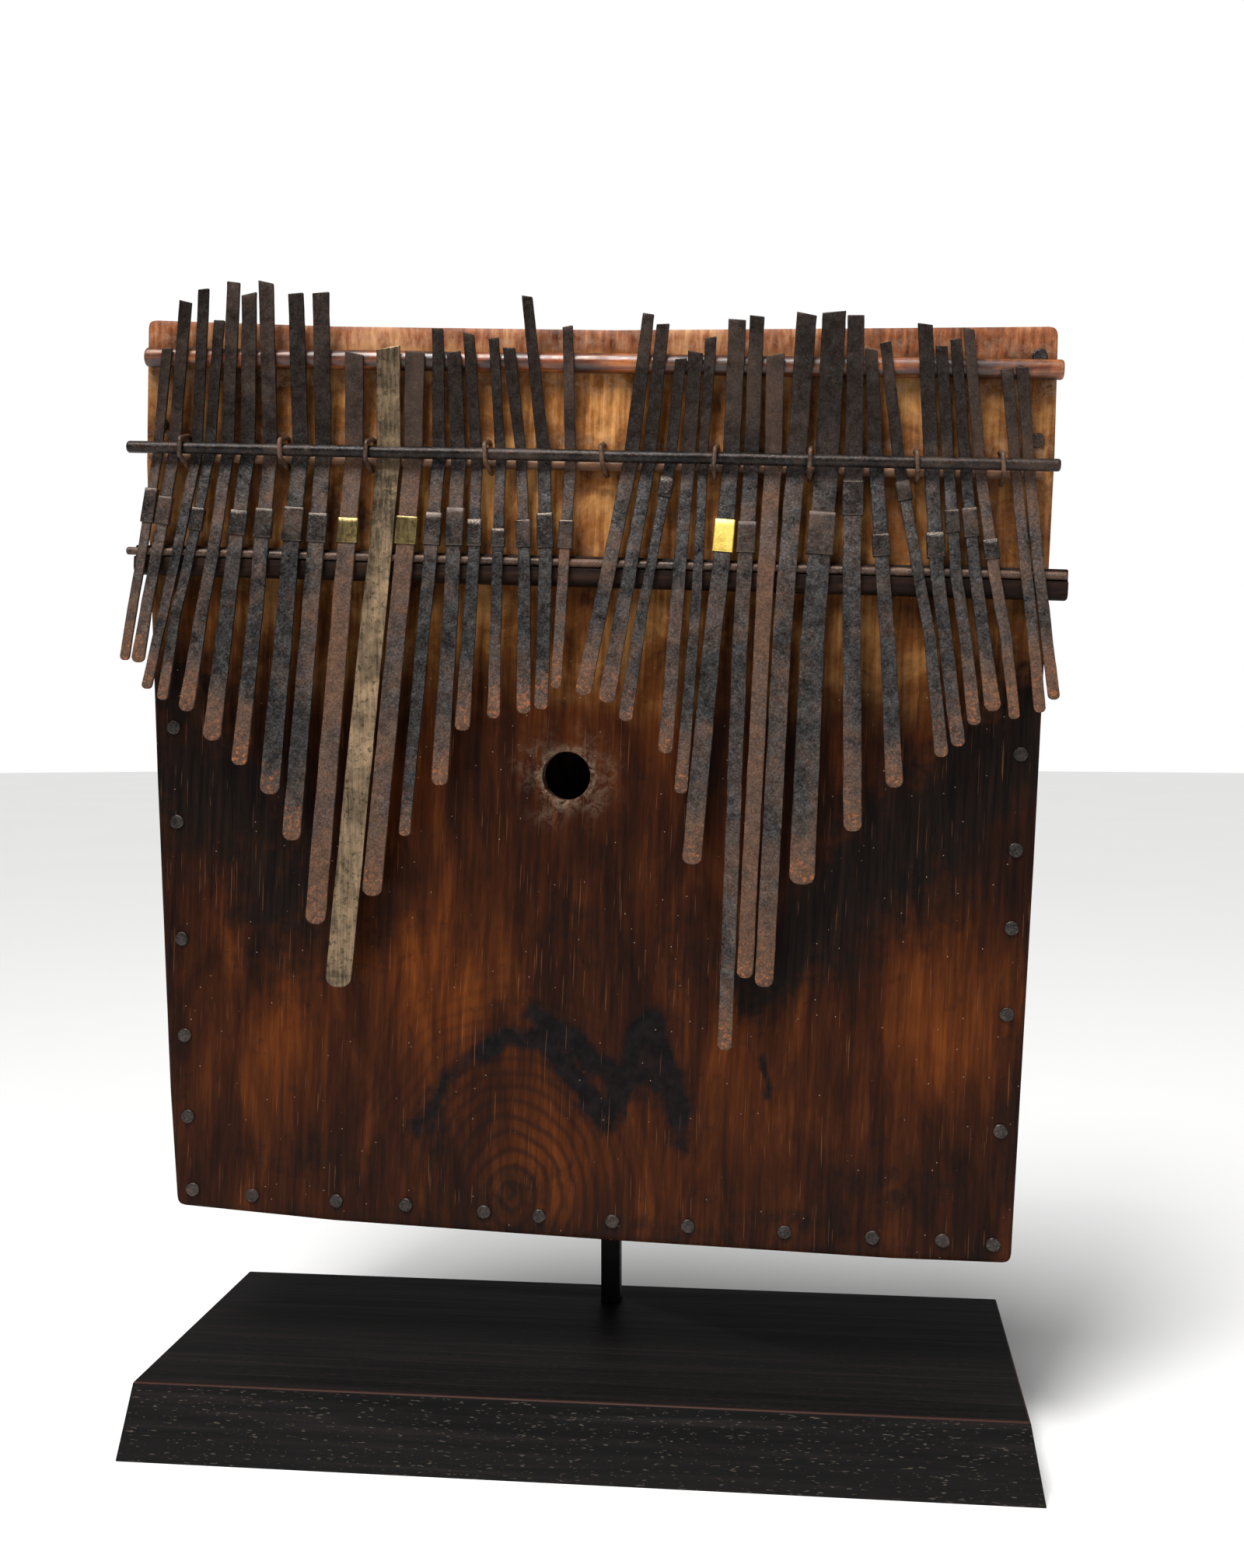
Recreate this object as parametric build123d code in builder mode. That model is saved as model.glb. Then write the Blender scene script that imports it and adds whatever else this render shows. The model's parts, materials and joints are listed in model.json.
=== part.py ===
from build123d import *
from collections import namedtuple
from math import atan2, cos, degrees, radians, sin
import os

# Board-box thumb piano (mbira) with iron and brass tines on a post-and-base display stand.
# Millimetres. +X right, -Y towards the player, +Z up, origin under the middle of the stand base.
# The instrument has its own frame: u across, v up the board, w out of the soundboard.

# ---- driving dimensions ----------------------------------------------------------------------
base_w, base_d, base_h = 340.4, 145.0, 28.6      # stand base at its foot
base_slope = 5.2                                 # every side leans in this far over its height
post_size, post_x, post_y = 8.0, 1.5, 48.0
post_foot, post_top = 10.0, 279.5                # post end inside the base, and its upper end

board_roll = 2.1                                 # the instrument hangs a little clockwise
board_front_y, board_foot_z = -30.0, 79.5
board_t = 8.0
box_depth = 70.0                                 # soundboard face to back panel face
panel_t = 8.0
wall_t = 12.0
sound_hole_u, sound_hole_v, sound_hole_r = -12.7, 175.3, 9.3

back_bridge_v, back_bridge_r = 330.4, 3.7
under_bar_v, under_bar_r = 292.6, 2.0
pressure_v, pressure_w, pressure_r = 295.2, 9.05, 2.3
bridge_rod_v, bridge_rod_w, bridge_rod_r = 255.6, 7.0, 1.5
tine_t = 1.6                                     # forged tine thickness
rod_gap = 0.06                                   # tine to bridge rod, and to back bridge
wire_r, tie_w, tie_v0, tie_v1 = 0.9, -14.0, 290.6, 299.0
sleeve_t, sleeve_gap = 0.5, 0.12
nail_head_r, nail_r, nail_fit = 2.75, 1.1, 0.05
nail_bore = 14.0                                 # depth of the nail holes in the walls

# ---- working planes --------------------------------------------------------------------------
tilt = radians(board_roll)
across = (cos(tilt), 0, -sin(tilt))
up = (sin(tilt), 0, cos(tilt))
foot = (0, board_front_y, board_foot_z)
FACE = Plane(origin=foot, x_dir=across, z_dir=(0, -1, 0))    # local u, v with w outwards
SIDE = Plane(origin=foot, x_dir=up, z_dir=across)            # local v, w seen along u

# Board outline, corner by corner from lower left, in (u, v)
outline = [(-161.5, 0), (-98, -2), (8, -2.1), (118, -1.4), (161.5, 0), (163.2, 150), (164, 300),
           (163.2, 347), (93, 345.6), (0, 343.8), (-108, 344), (-182.6, 345.6), (-181.9, 290),
           (-174.2, 166), (-165.6, 44)]
board_corners = [(-161.5, 0), (161.5, 0), (163.2, 347), (-182.6, 345.6)]


def left_wall(v):
    """u of the left wall's outer face at height v."""
    return -160.6 - 21.0 * (v - 1) / 341.5


def right_wall(v):
    """u of the right wall's outer face at height v."""
    return 160.6 + 1.6 * (v - 1) / 341.5


# Nails round the soundboard, in (u, v)
board_nails = [(-176.0, 305.3), (-167.9, 188), (-165.6, 151.2), (-162.4, 105.4), (-160.2, 67.4),
               (-158.0, 35.4), (-155.2, 6.6), (-131, 5.8), (-97.2, 5.9), (-69.6, 6.2), (-38.8, 5.7),
               (-17.2, 5.5), (11.3, 5.4), (40.3, 5.6), (77, 5.8), (109.8, 6.1), (136, 6.8),
               (154.6, 6.6), (156.6, 190.1), (156.4, 154.6), (156.2, 125.6), (155.9, 93.3),
               (155.5, 49.5), (157, 336), (157.4, 305.3), (157.2, 272.6)]
panel_nails = [(left_wall(v) + 6, v) for v in (30, 120, 220, 312)]
panel_nails += [(right_wall(v) - 6, v) for v in (30, 120, 220, 312)]
panel_nails += [(u, v) for u in (-90, 0, 90) for v in (7, 336.5)]

# Binding wires: middle of each loop and the angle it is turned about w
loops = [(-164.0, 0), (-124.7, 3), (-91.4, -3), (-45.7, 5), (-1.8, 7), (40.0, -4), (75.1, 0),
         (113.9, 4), (144.6, 5)]
loop_mid_v = 294.8

# ---- tines -----------------------------------------------------------------------------------
# Tail, pressure-bar, bridge, shoulder and tip points on the centre line as (u, v), then the width
# at tail, bar, bridge and tip. rise is the tip's lift beyond the bridge, sleeve the (v0, v1) span
# of a sheet-metal rattle sleeve wrapped round the tine.
Tine = namedtuple("Tine", "tail bar bridge shoulder tip widths rise sleeve sleeve_node")


def row(tail, bar, bridge, shoulder, tip, widths, rise=3.0, sleeve=None, sleeve_node=None):
    """One tine of the keyboard; bar and bridge heights are shared by all of them."""
    return Tine(tail, (bar, pressure_v), (bridge, bridge_rod_v), shoulder, tip, widths, rise,
                sleeve, sleeve_node)


tines = [
    row((-171.2, 333.4), -175.2, -178.7, (-181.8, 231), (-183.6, 213.3), (4.1, 3.8, 3.7, 3.8),
        sleeve=(266.5, 279.8)),
    row((-163.8, 350.9), -168.7, -172.9, (-176.3, 231), (-178.4, 212.6), (4.8, 4.5, 4.5, 5.3),
        sleeve=(266.0, 276.6)),
    row((-156.6, 355.4), -159.6, -164.9, (-169.3, 231.5), (-174.7, 202.6), (4.2, 4.2, 4.0, 4.1)),
    row((-150.6, 343.9), -154.4, -159.6, (-164.3, 231.5), (-168.2, 198.6), (4.2, 4.1, 3.9, 4.3),
        sleeve=(264.0, 272.6)),
    row((-145.0, 358.1), -147.4, -150.6, (-154.2, 232), (-158.6, 194.6), (5.0, 4.9, 4.6, 6.1)),
    row((-138.8, 353.9), -139.4, -142.3, (-144.3, 233), (-148.2, 183.8), (5.8, 5.7, 5.7, 7.2),
        sleeve=(262.6, 272.0)),
    row((-132.3, 358.3), -130.4, -131.9, (-132.9, 233), (-137.1, 174.8), (5.8, 5.5, 5.7, 6.1),
        sleeve=(261.8, 272.9)),
    row((-120.6, 354.3), -118.7, -120.4, (-121.1, 235), (-124.9, 164.2), (5.9, 6.2, 6.5, 7.8),
        sleeve=(260.7, 273.7)),
    row((-111.0, 354.4), -109.7, -110.5, (-111.4, 235), (-115.6, 147.0), (6.4, 6.1, 6.4, 7.2),
        sleeve=(260.5, 271.6), rise=3.5),
    row((-97.8, 332.5), -97.7, -98.6, (-99.5, 235), (-104.8, 115.7), (7.2, 6.9, 6.9, 8.1),
        sleeve=(260.6, 270.1), sleeve_node="brass_sleeve_10", rise=5.0),
    row((-84.8, 334.6), -84.2, -85.3, (-86.8, 236), (-95.0, 92.3), (9.0, 9.2, 9.0, 10.1), rise=6.0),
    row((-74.4, 333.2), -74.7, -76.0, (-77.2, 236), (-83.4, 127.4), (7.4, 7.2, 7.0, 7.5),
        sleeve=(260.6, 271.2), sleeve_node="brass_sleeve_12", rise=4.5),
    row((-65.8, 341.9), -64.7, -65.9, (-67.0, 236), (-71.7, 150.6), (4.3, 4.9, 5.2, 4.3),
        sleeve=(260.6, 272.9), rise=3.5),
    row((-59.6, 333.4), -57.2, -57.1, (-57.2, 237), (-58.9, 170.3), (5.4, 5.7, 5.5, 6.4),
        sleeve=(260.6, 274.9)),
    row((-54.0, 340.2), -50.3, -49.2, (-49.6, 237), (-50.9, 191.2), (4.3, 4.3, 4.5, 5.8),
        sleeve=(260.6, 270.7)),
    row((-44.5, 338.7), -41.1, -40.1, (-40.0, 237), (-39.0, 196.3), (3.8, 3.9, 4.1, 4.9),
        sleeve=(260.6, 267.4)),
    row((-38.7, 335.2), -33.2, -30.0, (-29.2, 238), (-27.6, 198.5), (4.6, 4.1, 4.5, 5.5),
        sleeve=(260.6, 270.9)),
    row((-32.2, 354.0), -24.6, -21.8, (-21.4, 238), (-21.1, 200.2), (3.9, 4.9, 5.0, 5.2),
        sleeve=(260.6, 273.7)),
    row((-16.6, 343.2), -14.4, -14.9, (-15.2, 238), (-15.8, 208.3), (3.8, 4.3, 4.1, 4.1),
        sleeve=(260.6, 271.2)),
    row((13.6, 348.1), 8.4, 2.4, (-0.2, 239), (-5.8, 206.0), (4.2, 5.7, 5.5, 6.2)),
    row((19.0, 344.4), 15.3, 10.4, (8.2, 239), (3.2, 203.7), (4.8, 5.0, 5.2, 6.4)),
    row((26.0, 332.1), 23.3, 18.0, (15.4, 239), (10.6, 197.0), (4.3, 4.1, 3.8, 5.5),
        sleeve=(281.0, 288.4)),
    row((31.4, 334.6), 30.0, 28.6, (27.9, 240), (26.0, 185.6), (5.5, 5.0, 4.8, 5.5)),
    row((36.9, 339.8), 35.4, 35.4, (35.2, 240), (32.3, 171.0), (4.3, 3.6, 3.6, 4.9)),
    row((46.5, 346.3), 45.9, 43.8, (41.7, 228), (37.3, 144.9), (6.4, 6.2, 6.4, 7.2),
        sleeve=(260.8, 272.9), sleeve_node="yellow_sleeve_25", rise=4.0),
    row((53.6, 347.7), 53.3, 52.6, (52.0, 228), (52.5, 76.9), (5.4, 5.7, 5.7, 5.3),
        sleeve=(260.8, 272.3), rise=6.5),
    row((60.8, 333.9), 61.4, 60.6, (59.9, 229), (58.8, 103.9), (6.5, 6.4, 6.3, 6.0), rise=5.5),
    row((71.8, 348.7), 69.9, 68.3, (67.4, 229), (66.0, 101.0), (7.2, 7.1, 6.8, 6.9), rise=5.5),
    row((81.7, 349.5), 81.2, 79.6, (78.6, 230), (78.3, 139.4), (8.6, 8.8, 8.4, 9.5),
        sleeve=(260.8, 276.6), rise=4.5),
    row((89.6, 348.3), 91.0, 91.8, (93.0, 230), (96.1, 159.7), (6.0, 6.7, 6.7, 6.7),
        sleeve=(275.6, 288.6), rise=3.5),
    row((95.7, 336.3), 99.2, 103.1, (106.0, 230), (110.6, 176.4), (4.6, 5.2, 5.2, 6.5),
        sleeve=(260.8, 268.9)),
    row((100.6, 338.9), 107.6, 115.8, (121.3, 231), (127.2, 188.2), (4.0, 4.3, 4.2, 5.0),
        sleeve=(281.6, 288.8)),
    row((114.6, 345.5), 119.2, 122.8, (126.8, 231), (132.9, 192.3), (5.5, 5.4, 5.1, 5.2),
        sleeve=(260.8, 270.0)),
    row((120.8, 337.8), 125.4, 129.6, (133.9, 231), (138.5, 200.3), (4.4, 4.2, 4.3, 5.0),
        sleeve=(270.2, 278.4)),
    row((125.8, 340.4), 131.5, 136.4, (140.6, 231.5), (144.9, 205.6), (4.0, 4.3, 4.4, 6.0),
        sleeve=(268.6, 279.4)),
    row((130.3, 344.0), 136.6, 143.4, (148.4, 231.8), (152.6, 203.0), (3.9, 4.2, 4.3, 3.9),
        sleeve=(260.8, 268.0)),
    row((144.8, 329.9), 149.5, 154.7, (157.8, 235), (161.6, 205.7), (4.4, 4.0, 4.2, 4.2)),
    row((150.1, 330.6), 154.3, 159.4, (162.5, 235), (166.4, 210.5), (4.4, 4.1, 4.2, 4.2)),
]

# Heights of a tine's middle line where it crosses each bar
over_bridge = bridge_rod_w + bridge_rod_r + rod_gap + tine_t / 2
over_back = 2 * back_bridge_r + rod_gap + tine_t / 2
under_pressure = 2 * under_bar_r + 0.1 + tine_t / 2


def centre_height(tine, v):
    """w of the tine's middle line at height v up the board."""
    stations = [(tine.tip[1], over_bridge + tine.rise), (bridge_rod_v, over_bridge),
                (under_bar_v, under_pressure), (back_bridge_v, over_back), (400, over_back + 6)]
    for (v0, w0), (v1, w1) in zip(stations, stations[1:]):
        if v <= v1:
            return w0 + (w1 - w0) * (v - v0) / (v1 - v0)


def export(part, label):
    """Name a finished part and write its STEP file."""
    part.label = label
    export_step(part, "parts/" + label + ".step")


def rod(v, w, r, u0, u1, end_fillet):
    """Round bar along u between u0 and u1 with softened ends."""
    with BuildPart() as bar:
        with BuildSketch(SIDE.offset(u0)):
            with Locations((v, w)):
                Circle(r)
        extrude(amount=u1 - u0)
        fillet(bar.edges().filter_by(GeomType.CIRCLE), end_fillet)
    return bar.part


def nails(points, head_w, outward, length):
    """Round-headed nails driven in at (u, v); outward is +1 for the front, -1 for the back."""
    with BuildPart() as row_of_nails:
        with BuildSketch(FACE.offset(head_w)):
            with Locations(*points):
                Circle(nail_head_r)
        extrude(amount=outward * 0.9)
        rims = row_of_nails.faces().sort_by(Axis(foot, (0, -outward, 0)))[-len(points):].edges()
        fillet(rims, 0.6)
        with BuildSketch(FACE.offset(head_w)):
            with Locations(*points):
                Circle(nail_r)
        extrude(amount=-outward * length)
    return row_of_nails.part


def blade(tine):
    """Forged tine: a plan outline and a bent side profile cut from one block."""
    stops = [tine.tail, tine.bar, tine.bridge, tine.shoulder, tine.tip]
    w_tail, w_bar, w_bridge, w_tip = tine.widths
    widths = [w_tail, w_bar, w_bridge, w_bridge + 0.25 * (w_tip - w_bridge), w_tip]
    left = [(u - w / 2, v) for (u, v), w in zip(stops, widths)]
    right = [(u + w / 2, v) for (u, v), w in zip(stops, widths)]
    bends = [v for v in (back_bridge_v + 3, back_bridge_v, under_bar_v, bridge_rod_v)
             if v < tine.tail[1]]
    bends = [tine.tail[1] + 1] + bends + [tine.tip[1] - 1]
    lower = [(v, centre_height(tine, v) - tine_t / 2) for v in bends]
    upper = [(v, centre_height(tine, v) + tine_t / 2) for v in bends]
    with BuildPart() as piece:
        with BuildSketch(FACE):
            Polygon(*left, *reversed(right), align=None)
            ends = vertices(Select.ALL).sort_by(Axis((0, 0, 0), (0, 1, 0)))
            fillet(ends[:2], 0.42 * w_tip)
            fillet(ends[-2:], 0.22 * w_tail)
        extrude(amount=40)
        with BuildSketch(SIDE.offset(-250)):
            Polygon(*lower, *reversed(upper), align=None)
        extrude(amount=500, mode=Mode.INTERSECT)
    return piece.part


def sleeve(tine):
    """Thin sheet wrapped round the tine between the bars, its two edges almost meeting behind."""
    v0, v1 = tine.sleeve
    (u_bridge, v_bridge), (u_bar, v_bar) = tine.bridge, tine.bar
    middle = (v0 + v1) / 2
    u = u_bridge + (u_bar - u_bridge) * (middle - v_bridge) / (v_bar - v_bridge)
    w = centre_height(tine, middle)
    along = Vector(u_bar - u_bridge, v_bar - v_bridge,
                   centre_height(tine, v_bar - 3) - centre_height(tine, v_bridge))
    world = Vector(*across) * along.X + Vector(*up) * along.Y + Vector(0, -1, 0) * along.Z
    centre = FACE.from_local_coords(Vector(u, v0 + (v1 - v0) / 2, w))
    section = Plane(origin=centre, x_dir=across, z_dir=world)
    width = max(tine.widths[1], tine.widths[2]) + 2 * sleeve_gap
    height = tine_t + 2 * sleeve_gap
    with BuildPart() as wrap:
        with BuildSketch(section.offset(-(v1 - v0) / 2)):
            RectangleRounded(width + 2 * sleeve_t, height + 2 * sleeve_t, 0.55)
            Rectangle(width, height, mode=Mode.SUBTRACT)
            with Locations((0, height / 2)):
                Rectangle(0.8, 3 * sleeve_t, mode=Mode.SUBTRACT)
        extrude(amount=v1 - v0)
    return wrap.part


def binding_loop(u, turn):
    """Closed wire loop from inside the box, up through the board and over the pressure bar."""
    heading = Vector(*up) * cos(radians(turn)) - Vector(*across) * sin(radians(turn))
    out = Vector(0, -1, 0)
    bend = Plane(origin=FACE.from_local_coords(Vector(u, loop_mid_v, 0)), x_dir=heading,
                 z_dir=heading.cross(out))
    low = tie_w - wire_r - 0.15
    top = pressure_w + pressure_r + wire_r + 0.15
    path_points = [(5.8, low), (5.8, 3.4), (3.7, top), (-2.6, top), (-5.8, 3.0), (-5.8, low)]
    with BuildPart() as loop:
        with BuildLine(bend) as path:
            FilletPolyline(*path_points, radius=1.6, close=True)
        with BuildSketch(Plane(origin=path.line @ 0, z_dir=path.line % 0)):
            Circle(wire_r)
        sweep(path=path.line)
    return loop.part


# ---- build -----------------------------------------------------------------------------------
os.makedirs("parts", exist_ok=True)

# Stand base: block with sloping sides and a blind square socket for the post
with BuildPart() as stand_base:
    with BuildSketch():
        Rectangle(base_w, base_d)
    extrude(amount=base_h, taper=degrees(atan2(base_slope, base_h)))
    chamfer(stand_base.faces().sort_by(Axis.Z)[-1].edges(), 0.5)
    with Locations((post_x, post_y, post_foot)):
        Box(post_size, post_size, base_h, align=(Align.CENTER, Align.CENTER, Align.MIN),
            mode=Mode.SUBTRACT)
export(stand_base.part, "stand_base")

with BuildPart() as stand_post:
    with Locations((post_x, post_y, post_foot)):
        Box(post_size, post_size, post_top - post_foot,
            align=(Align.CENTER, Align.CENTER, Align.MIN))
    chamfer(stand_post.faces().sort_by(Axis.Z)[-1].edges(), 0.6)
export(stand_post.part, "stand_post")

# Mount: plate on the back panel with a square socket that drops over the post
back_y = board_front_y + box_depth
plate_t = 3.7
socket_inner, socket_wall = post_size + 0.6, 3.0
socket_z0, socket_z1 = 178.0, 283.0
screw_spots = [(post_x + sx * 34, 232 + sz * 46) for sx in (-1, 1) for sz in (-1, 1)]
with BuildPart() as mount_plate:
    with Locations((post_x, back_y + plate_t / 2, 232)):
        Box(86, plate_t, 120)
    with Locations((post_x, post_y, socket_z0)):
        Box(socket_inner + 2 * socket_wall, socket_inner, socket_z1 - socket_z0,
            align=(Align.CENTER, Align.CENTER, Align.MIN))
    with Locations((post_x, post_y + socket_inner / 2, socket_z0)):
        Box(socket_inner + 2 * socket_wall, socket_wall, socket_z1 - socket_z0,
            align=(Align.CENTER, Align.MIN, Align.MIN))
    with Locations((post_x, post_y, socket_z0)):
        Box(socket_inner, socket_inner, post_top + 0.3 - socket_z0,
            align=(Align.CENTER, Align.CENTER, Align.MIN), mode=Mode.SUBTRACT)
    with BuildSketch(Plane(origin=(0, back_y, 0), x_dir=(1, 0, 0), z_dir=(0, -1, 0))):
        with Locations(*screw_spots):
            Circle(2.2)
    extrude(amount=-plate_t, mode=Mode.SUBTRACT)
export(mount_plate.part, "mount_plate")

rear = Plane(origin=(0, back_y + plate_t, 0), x_dir=(-1, 0, 0), z_dir=(0, 1, 0))
with BuildPart() as mount_screws:
    with BuildSketch(rear):
        with Locations(*[(-x, z) for x, z in screw_spots]):
            Circle(4)
    extrude(amount=2.2)
    fillet(mount_screws.faces().sort_by(Axis.Y)[-4:].edges(), 1.2)
    with BuildSketch(rear.offset(2.2)):
        with Locations(*[(-x, z) for x, z in screw_spots]):
            Rectangle(5, 1.1)
    extrude(amount=-0.9, mode=Mode.SUBTRACT)
    with BuildSketch(rear):
        with Locations(*[(-x, z) for x, z in screw_spots]):
            Circle(2)
    extrude(amount=-10)
export(mount_screws.part, "mount_screws")

# Resonator box: soundboard, four walls and back panel
with BuildPart() as soundboard:
    with BuildSketch(FACE.offset(-board_t)):
        Polygon(*outline, align=None)
        for corner in board_corners:
            fillet(vertices().sort_by_distance((*corner, 0))[0], 3)
    extrude(amount=board_t)
    front_rim = soundboard.faces().sort_by(Axis((0, 0, 0), (0, -1, 0)))[-1].edges()
    chamfer(front_rim, 0.8)
    with BuildSketch(FACE.offset(-board_t)):
        with Locations((sound_hole_u, sound_hole_v)):
            Circle(sound_hole_r)
        with Locations(*board_nails):
            Circle(nail_r + nail_fit)
        for loop_u, turn in loops:
            for reach in (-5.8, 5.8):
                with Locations((loop_u - reach * sin(radians(turn)),
                                loop_mid_v + reach * cos(radians(turn)))):
                    Circle(wire_r + 0.15)
    extrude(amount=board_t, mode=Mode.SUBTRACT)
export(soundboard.part, "soundboard")

wall_back, wall_front = -(box_depth - panel_t), -board_t
wall_low, wall_high = 1.0, 342.5
walls = {
    "side_left": [(left_wall(wall_low), wall_low), (left_wall(wall_low) + wall_t, wall_low),
                  (left_wall(wall_high) + wall_t, wall_high), (left_wall(wall_high), wall_high)],
    "side_right": [(right_wall(wall_low) - wall_t, wall_low), (right_wall(wall_low), wall_low),
                   (right_wall(wall_high), wall_high), (right_wall(wall_high) - wall_t, wall_high)],
    "side_top": [(left_wall(v) + wall_t, v) for v in (wall_high - wall_t, wall_high)]
    + [(right_wall(v) - wall_t, v) for v in (wall_high, wall_high - wall_t)],
    "side_bottom": [(left_wall(v) + wall_t, v) for v in (wall_low, wall_low + wall_t)]
    + [(right_wall(v) - wall_t, v) for v in (wall_low + wall_t, wall_low)],
}
for label, points in walls.items():
    with BuildPart() as wall:
        with BuildSketch(FACE.offset(wall_back)):
            Polygon(*points, align=None)
        extrude(amount=wall_front - wall_back)
        for spots, start, depth in ((board_nails, wall_front, -nail_bore),
                                    (panel_nails, wall_back, nail_bore)):
            with BuildSketch(FACE.offset(start)):
                with Locations(*spots):
                    Circle(nail_r + nail_fit)
            extrude(amount=depth, mode=Mode.SUBTRACT)
    export(wall.part, label)

with BuildPart() as back_panel:
    with BuildSketch(FACE.offset(-box_depth)):
        Polygon((left_wall(wall_low), wall_low), (right_wall(wall_low), wall_low),
                (right_wall(wall_high), wall_high), (left_wall(wall_high), wall_high), align=None)
        with Locations(*panel_nails):
            Circle(nail_r + nail_fit, mode=Mode.SUBTRACT)
    extrude(amount=panel_t)
    with BuildSketch(Plane(origin=(0, back_y, 0), x_dir=(1, 0, 0), z_dir=(0, -1, 0))):
        with Locations(*screw_spots):
            Circle(2.05)
    extrude(amount=panel_t, mode=Mode.SUBTRACT)
export(back_panel.part, "back_panel")

export(nails(board_nails, 0, 1, 20), "soundboard_nails")
export(nails(panel_nails, -box_depth, -1, 20), "back_panel_nails")

# Bars across the keyboard
export(rod(back_bridge_v, back_bridge_r, back_bridge_r, -181.3, 165.4, 1.2), "back_bridge")
export(rod(under_bar_v, under_bar_r, under_bar_r, -179.5, 160.0, 0.6), "under_bar")
export(rod(pressure_v, pressure_w, pressure_r, -185.9, 165.2, 1.0), "pressure_bar")
export(rod(bridge_rod_v, bridge_rod_w, bridge_rod_r, -185.9, 169.6, 0.7), "bridge_rod")

# Wooden bridge bar: a low ledge that carries the rod and a rounded ridge in front of it
ledge = bridge_rod_w - bridge_rod_r
with BuildPart() as bridge_bar:
    with BuildSketch(SIDE.offset(-183.2)):
        Polygon((246.9, 0), (258.2, 0), (258.2, ledge), (253.9, ledge), (253.9, 7.4), (246.9, 7.4),
                align=None)
        fillet(vertices().sort_by_distance((246.9, 7.4, 0))[0], 3.0)
    extrude(amount=170.2 + 183.2)
export(bridge_bar.part, "bridge_bar")

# Tie bar inside the box, held by the wire loops against the back of the soundboard
with BuildPart() as inner_tie_bar:
    with BuildSketch(SIDE.offset(-166)):
        Polygon((tie_v0, tie_w), (tie_v1, tie_w), (tie_v1, -board_t), (tie_v0, -board_t),
                align=None)
    extrude(amount=314)
export(inner_tie_bar.part, "inner_tie_bar")

wire_loops = [binding_loop(loop_u, turn) for loop_u, turn in loops]
with BuildPart() as binding_wires:
    add(wire_loops)
export(binding_wires.part, "binding_wires")

# Tines, each with its rattle sleeve where it has one
for number, tine in enumerate(tines, start=1):
    pieces = [blade(tine)]
    if tine.sleeve_node:
        export(sleeve(tine), tine.sleeve_node)
    elif tine.sleeve:
        pieces.append(sleeve(tine))
    with BuildPart() as tongue:
        add(pieces)
    export(tongue.part, f"tine_{number:02d}")
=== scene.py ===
import bmesh
import bpy
import json
from math import cos, radians, sin
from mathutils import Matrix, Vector, noise
import numpy as np


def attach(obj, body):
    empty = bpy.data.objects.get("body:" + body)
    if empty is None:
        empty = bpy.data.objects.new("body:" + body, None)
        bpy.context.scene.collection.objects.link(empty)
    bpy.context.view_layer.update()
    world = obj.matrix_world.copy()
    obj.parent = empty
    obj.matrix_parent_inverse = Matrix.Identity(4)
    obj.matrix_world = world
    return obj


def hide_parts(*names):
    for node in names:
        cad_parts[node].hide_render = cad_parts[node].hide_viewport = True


# Blender gives noise_vector a new random offset at every start, so it is fixed here
NOISE_SEED = 11
noise.seed_set(NOISE_SEED)

# Board-box thumb piano on a display stand. Metres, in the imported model's own frame.
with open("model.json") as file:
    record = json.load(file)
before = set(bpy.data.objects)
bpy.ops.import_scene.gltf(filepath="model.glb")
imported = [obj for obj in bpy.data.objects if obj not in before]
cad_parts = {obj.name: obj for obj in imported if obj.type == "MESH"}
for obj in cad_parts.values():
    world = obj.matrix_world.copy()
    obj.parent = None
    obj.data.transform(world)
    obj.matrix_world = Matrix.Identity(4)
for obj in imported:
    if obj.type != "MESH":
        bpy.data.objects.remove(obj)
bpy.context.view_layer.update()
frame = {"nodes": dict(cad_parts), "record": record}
NODES = frame["nodes"]
BODY_OF = {n: b for b, ns in frame["record"]["behaviour"]["bodies"].items() for n in ns}

# The instrument's own frame: u across, v up the board, w out of it, all in millimetres
MM = 0.001
ROLL = radians(2.1)
ACROSS = Vector((cos(ROLL), 0, -sin(ROLL)))
UP = Vector((sin(ROLL), 0, cos(ROLL)))
OUT = Vector((0, -1, 0))
FOOT = Vector((0, -0.030, 0.0795))
HOLE = (-12.7, 175.3, 9.3)


def to_world(u, v, w):
    return FOOT + (ACROSS * u + UP * v + OUT * w) * MM


def to_local(p):
    d = p - FOOT
    return d.dot(ACROSS) / MM, d.dot(UP) / MM, d.dot(OUT) / MM


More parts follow.
